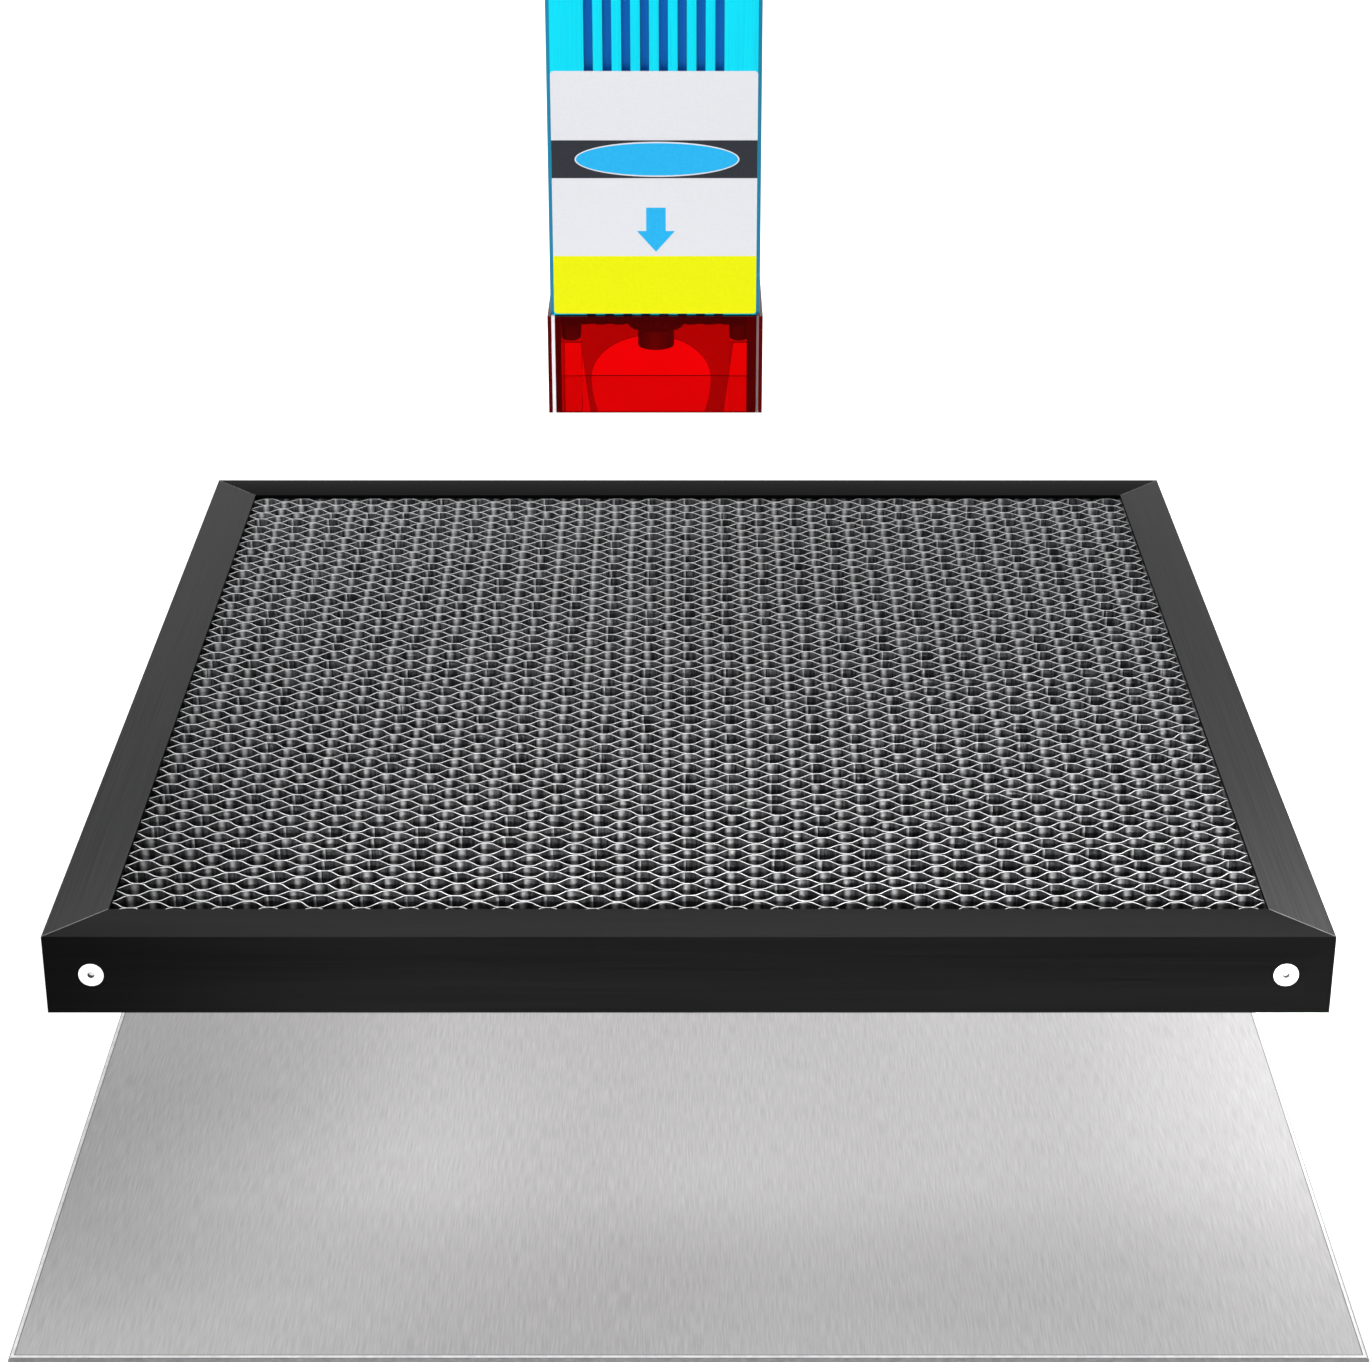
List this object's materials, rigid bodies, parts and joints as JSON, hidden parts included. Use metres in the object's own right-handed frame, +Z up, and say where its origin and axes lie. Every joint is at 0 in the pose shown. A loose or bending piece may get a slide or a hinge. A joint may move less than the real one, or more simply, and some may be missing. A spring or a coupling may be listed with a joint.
{
  "type": "desktop laser cutter",
  "caption": "Open-frame desktop laser cutter: a diode head with a tinted shield on an X-Y gantry over a framed honeycomb bed on a screw lift, with a brushed base plate below.",
  "frame": {"origin": "on the floor under the middle of the portal frame", "axes": "+X to the right across the front, +Y to the back, +Z up"},
  "size_m": [0.688, 0.5354, 0.53],
  "materials": {
    "slotted_beam": "black anodised, satin",
    "moulded_cap": "fine moulded grain",
    "foot_rubber": "matt",
    "cast_bracket": "powder coat over a casting",
    "zinc_bolt": "zinc plate",
    "brushed_plate": "brushed front to back",
    "black_bar": "satin black",
    "raw_block": "machined",
    "white_screw": "white enamel",
    "honeycomb": "bright foil",
    "bronze": "machined",
    "ground_steel": "ground",
    "motor_case": "black over bright end bells",
    "block_steel": "ground",
    "pulley_metal": "turned",
    "belt_rubber": "toothed belt",
    "black_plate": "black anodised, fine blast",
    "knob_metal": "turned and anodised",
    "blue_anodised": "bright blue anodised",
    "printed_label": "printed panel",
    "copper": "machined copper",
    "tinted_acrylic": "clear red acrylic",
    "nickel": "nickel plate",
    "box_steel": "powder coat",
    "circuit_board": "solder mask",
    "switch_black": "polished",
    "button_red": "polished"
  },
  "bodies": {
    "frame": {"front_base_beam": "slotted_beam", "side_base_rails": "slotted_beam", "rear_tie_beam": "slotted_beam", "plate_bearers": "slotted_beam", "corner_posts": "slotted_beam", "side_top_rails": "slotted_beam", "cross_top_beams": "slotted_beam", "beam_end_caps": "moulded_cap", "levelling_feet": "foot_rubber", "corner_brackets": "cast_bracket", "frame_bolts": "zinc_bolt", "base_plate": "brushed_plate", "lift_motor": "motor_case", "lift_rods": "ground_steel", "lift_top_plate": "raw_block", "y_rails": "ground_steel", "axle_brackets": "cast_bracket", "y_belts": "belt_rubber", "y_motor": "motor_case", "control_box": "box_steel", "control_lid": "box_steel", "main_board": "circuit_board"},
    "lift_spindle": {"lift_screw": "ground_steel"},
    "bed": {"lift_fork": "raw_block", "lift_bushings": "bronze", "bed_front_bar": "black_bar", "bed_rear_bar": "black_bar", "bed_left_bar": "black_bar", "bed_right_bar": "black_bar", "bed_corner_blocks": "raw_block", "bed_screws": "white_screw", "honeycomb_core": "honeycomb"},
    "y_drive": {"y_shaft": "ground_steel", "y_pulleys": "pulley_metal"},
    "y_idling": {"y_idlers": "pulley_metal"},
    "gantry": {"y_blocks": "block_steel", "end_plates": "black_plate", "x_beam": "slotted_beam", "x_rail": "ground_steel", "x_motor": "motor_case", "x_belt": "belt_rubber"},
    "x_drive": {"x_pulley": "pulley_metal"},
    "x_idling": {"x_idler": "pulley_metal"},
    "carriage": {"x_block": "block_steel", "carriage_plate": "black_plate", "z_rods": "ground_steel"},
    "z_spindle": {"z_screw": "ground_steel", "z_knob": "knob_metal"},
    "head": {"z_slider": "raw_block", "head_housing": "blue_anodised", "front_label": "printed_label", "diode_module": "copper", "lens_nozzle": "knob_metal", "fan_cover": "moulded_cap"},
    "focus": {"focus_ring": "knob_metal"},
    "fan": {"head_fan": "moulded_cap"},
    "shield": {"laser_shield": "tinted_acrylic", "shield_magnets": "nickel"},
    "rocker": {"power_rocker": "switch_black"},
    "stop": {"stop_button": "button_red"}
  },
  "joints": [
    {"name": "bed_lift", "type": "slide", "parent": "frame", "child": "bed", "axis": [0, 0, 1], "range_m": [-0.05, 0]},
    {"name": "lift_screw_turn", "type": "hinge", "parent": "frame", "child": "lift_spindle", "pos_m": [0, 0.222, 0.1], "axis": [0, 0, 1], "range_deg": [-60, 2310]},
    {"name": "gantry_travel", "type": "slide", "parent": "frame", "child": "gantry", "axis": [0, 1, 0], "range_m": [-0.115, 0.165]},
    {"name": "y_shaft_turn", "type": "hinge", "parent": "frame", "child": "y_drive", "pos_m": [0, 0.224, 0.508], "axis": [1, 0, 0], "range_deg": [-1100, 1560]},
    {"name": "y_idler_turn", "type": "hinge", "parent": "frame", "child": "y_idling", "pos_m": [0, -0.224, 0.508], "axis": [1, 0, 0], "range_deg": [-1100, 1560]},
    {"name": "head_travel", "type": "slide", "parent": "gantry", "child": "carriage", "axis": [1, 0, 0], "range_m": [-0.17, 0.19]},
    {"name": "x_pulley_turn", "type": "hinge", "parent": "gantry", "child": "x_drive", "pos_m": [-0.278, 0.018, 0.485], "axis": [0, 0, 1], "range_deg": [-1600, 1800]},
    {"name": "x_idler_turn", "type": "hinge", "parent": "gantry", "child": "x_idling", "pos_m": [0.278, 0.018, 0.485], "axis": [0, 0, 1], "range_deg": [-1600, 1800]},
    {"name": "head_lift", "type": "slide", "parent": "carriage", "child": "head", "axis": [0, 0, 1], "range_m": [-0.08, 0]},
    {"name": "head_screw_turn", "type": "hinge", "parent": "carriage", "child": "z_spindle", "pos_m": [-0.0106, -0.024, 0.45], "axis": [0, 0, 1], "range_deg": [-60, 3700]},
    {"name": "focus_turn", "type": "hinge", "parent": "head", "child": "focus", "pos_m": [-0.0106, -0.0675, 0.343], "axis": [0, 0, 1], "range_deg": [-60, 60]},
    {"name": "fan_spin", "type": "hinge", "parent": "head", "child": "fan", "pos_m": [-0.0106, -0.0675, 0.497], "axis": [0, 0, 1], "continuous": true},
    {"name": "shield_pull", "type": "slide", "parent": "head", "child": "shield", "axis": [0, 0, 1], "range_m": [-0.025, 0]},
    {"name": "power_switch", "type": "hinge", "parent": "frame", "child": "rocker", "pos_m": [0.258, -0.208, 0.0685], "axis": [1, 0, 0], "range_deg": [0, 18]},
    {"name": "stop_press", "type": "slide", "parent": "frame", "child": "stop", "axis": [0, 0, 1], "range_m": [-0.004, 0], "stiffness_N_per_m": 400, "springref_m": 0.003}
  ],
  "couplings": [
    {"joint": "lift_screw_turn", "follows": "bed_lift", "rad_per_m": -785.4},
    {"joint": "y_shaft_turn", "follows": "gantry_travel", "rad_per_m": 157.09},
    {"joint": "y_idler_turn", "follows": "gantry_travel", "rad_per_m": 157.09},
    {"joint": "x_pulley_turn", "follows": "head_travel", "rad_per_m": 157.09},
    {"joint": "x_idler_turn", "follows": "head_travel", "rad_per_m": 157.09},
    {"joint": "head_screw_turn", "follows": "head_lift", "rad_per_m": -785.4}
  ]
}
